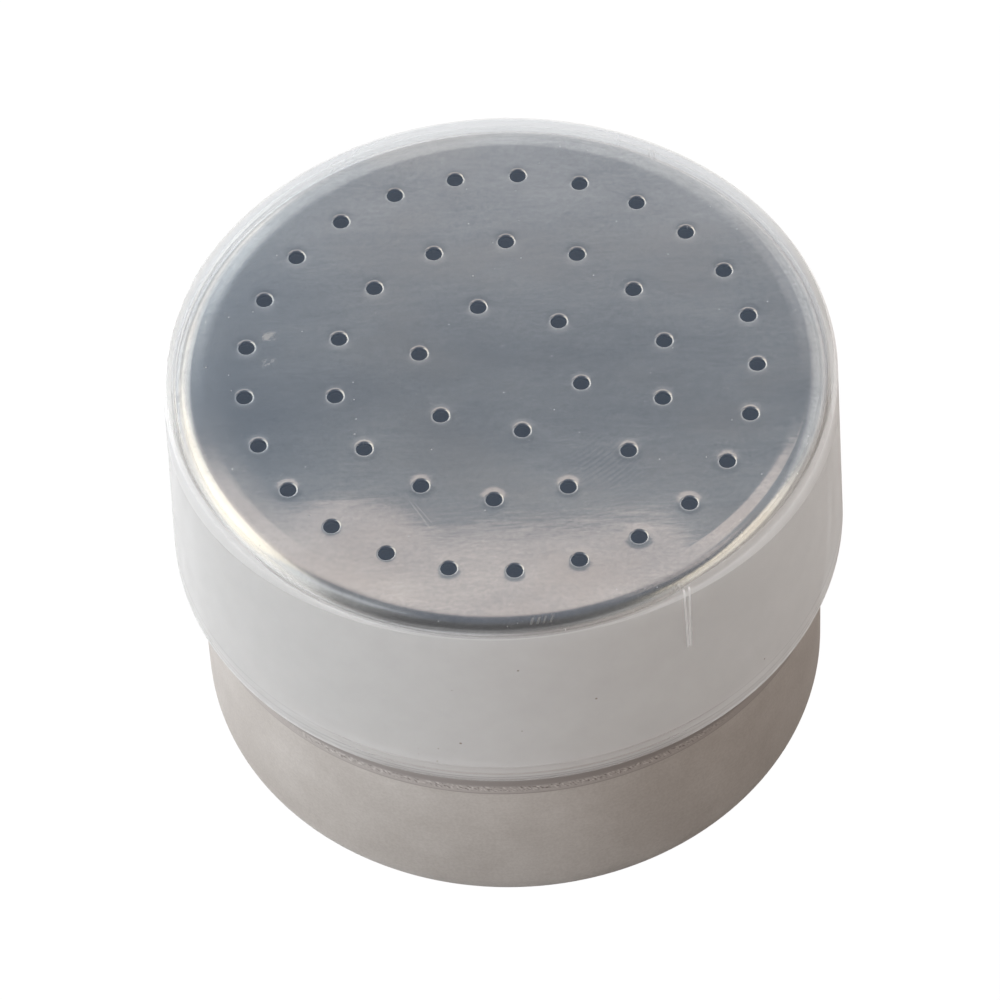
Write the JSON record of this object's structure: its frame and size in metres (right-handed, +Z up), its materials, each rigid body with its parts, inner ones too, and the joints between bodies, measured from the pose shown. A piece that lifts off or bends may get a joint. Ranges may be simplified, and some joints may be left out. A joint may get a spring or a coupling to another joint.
{
  "type": "chocolate shaker",
  "caption": "Squat round steel shaker for cocoa or chocolate powder: a drawn cup with a perforated push-on lid and a translucent plastic dust cap over the holes.",
  "frame": {"origin": "centre of the flat base, on the table it stands on", "axes": "+Z up along the shaker's axis, the way the lid and the cap pull off; -Y towards the viewer of the picture"},
  "size_m": [0.0722, 0.0722, 0.0506],
  "materials": {
    "satin_steel": "satin",
    "polished_steel": "polished stainless sheet with fine scratches",
    "clear_plastic": "natural translucent polypropylene"
  },
  "bodies": {
    "cup": {"cup": "satin_steel"},
    "sprinkle_lid": {"sprinkle_lid": "polished_steel"},
    "dust_cap": {"dust_cap": "clear_plastic"}
  },
  "joints": [
    {"name": "lid_lift", "type": "slide", "parent": "cup", "child": "sprinkle_lid", "axis": [0, 0, 1], "range_m": [0, 0.034]},
    {"name": "cap_lift", "type": "slide", "parent": "sprinkle_lid", "child": "dust_cap", "axis": [0, 0, 1], "range_m": [0, 0.032]}
  ]
}
